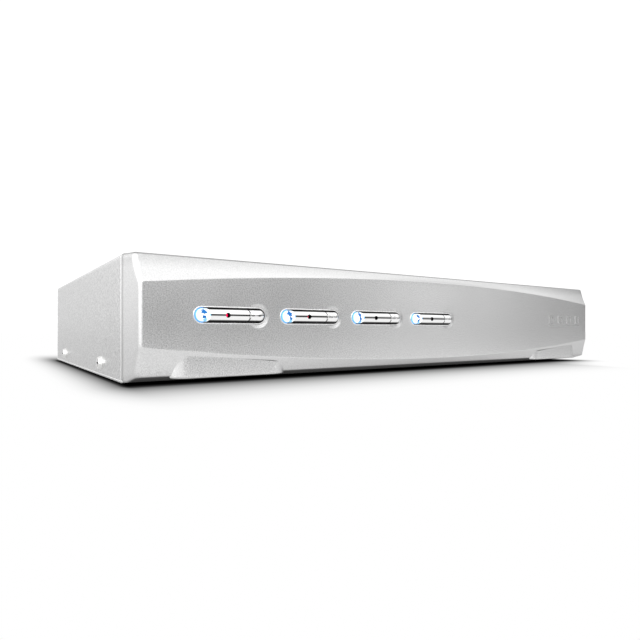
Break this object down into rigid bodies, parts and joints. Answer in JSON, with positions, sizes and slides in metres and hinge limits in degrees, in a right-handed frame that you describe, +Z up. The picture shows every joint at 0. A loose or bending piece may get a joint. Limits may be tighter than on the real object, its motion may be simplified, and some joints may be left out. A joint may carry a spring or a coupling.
{
  "type": "kvm switch",
  "caption": "Desktop KVM switch: silver steel case, sculpted front bezel with a row of lit chrome select keys, and video, USB, audio and power sockets on the rear.",
  "frame": {"origin": "middle of the footprint, on the surface that the rubber feet stand on", "axes": "+X along the front face from its left end to its right end, +Y from the front bezel to the rear panel, +Z up"},
  "size_m": [0.2836, 0.1856, 0.045],
  "materials": {
    "case_steel": "silver paint, satin",
    "bezel_paint": "silver-painted moulding, fine speckle",
    "rubber": "matte",
    "chrome_plate": "bright",
    "clear_lens": "clear acrylic lit blue",
    "blue_led": "lit",
    "red_led": "lit",
    "circuit_board": "solder mask",
    "socket_shell": "nickel plated",
    "screw_steel": "zinc plated",
    "nickel_brass": "nickel plated",
    "black_plastic": "satin",
    "chip_plastic": "matte",
    "heat_sink_aluminium": "anodised",
    "capacitor_sleeve": "gloss sleeve",
    "ferrite": "matte",
    "crystal_can": "bright",
    "ribbon_cable": "grey"
  },
  "bodies": {
    "housing": {"base_tray": "case_steel", "top_cover": "case_steel", "rear_panel": "case_steel", "cover_side_screws": "screw_steel", "rear_panel_screws": "screw_steel", "rubber_feet": "rubber", "front_bezel": "bezel_paint", "port_lens_1": "clear_lens", "indicator_bar_1": "chrome_plate", "port_lens_2": "clear_lens", "indicator_bar_2": "chrome_plate", "port_lens_3": "clear_lens", "indicator_bar_3": "chrome_plate", "port_lens_4": "clear_lens", "indicator_bar_4": "chrome_plate", "button_board": "circuit_board", "button_board_screws": "screw_steel", "tact_switches": "black_plastic", "port_leds": "blue_led", "status_leds": "red_led", "lower_board": "circuit_board", "upper_board": "circuit_board", "tray_standoffs": "nickel_brass", "board_spacers": "nickel_brass", "board_screws": "screw_steel", "bezel_screws": "screw_steel", "pc_video_socket_1": "socket_shell", "pc_video_socket_2": "socket_shell", "pc_video_socket_3": "socket_shell", "pc_video_socket_4": "socket_shell", "console_video_socket": "socket_shell", "video_jackscrews": "nickel_brass", "pc_usb_socket_1": "socket_shell", "pc_usb_socket_2": "socket_shell", "pc_usb_socket_3": "socket_shell", "pc_usb_socket_4": "socket_shell", "console_usb_socket_1": "socket_shell", "console_usb_socket_2": "socket_shell", "audio_jacks": "black_plastic", "dc_power_jack": "black_plastic", "controller_chip": "chip_plastic", "usb_hub_chip": "chip_plastic", "video_switch_chips": "chip_plastic", "video_buffer_chip": "chip_plastic", "chip_heat_sink": "heat_sink_aluminium", "power_capacitors": "capacitor_sleeve", "power_inductor": "ferrite", "clock_crystal": "crystal_can", "board_link_header": "black_plastic", "ribbon_headers": "black_plastic", "front_ribbon_cable": "ribbon_cable"},
    "key_1": {"select_key_1": "chrome_plate", "switch_plunger_1": "black_plastic"},
    "key_2": {"select_key_2": "chrome_plate", "switch_plunger_2": "black_plastic"},
    "key_3": {"select_key_3": "chrome_plate", "switch_plunger_3": "black_plastic"},
    "key_4": {"select_key_4": "chrome_plate", "switch_plunger_4": "black_plastic"}
  },
  "joints": [
    {"name": "key_1_press", "type": "slide", "parent": "housing", "child": "key_1", "axis": [0, 1, 0], "range_m": [0, 0.0008], "stiffness_N_per_m": 1200, "springref_m": -0.0005},
    {"name": "key_2_press", "type": "slide", "parent": "housing", "child": "key_2", "axis": [0, 1, 0], "range_m": [0, 0.0008], "stiffness_N_per_m": 1200, "springref_m": -0.0005},
    {"name": "key_3_press", "type": "slide", "parent": "housing", "child": "key_3", "axis": [0, 1, 0], "range_m": [0, 0.0008], "stiffness_N_per_m": 1200, "springref_m": -0.0005},
    {"name": "key_4_press", "type": "slide", "parent": "housing", "child": "key_4", "axis": [0, 1, 0], "range_m": [0, 0.0008], "stiffness_N_per_m": 1200, "springref_m": -0.0005}
  ]
}
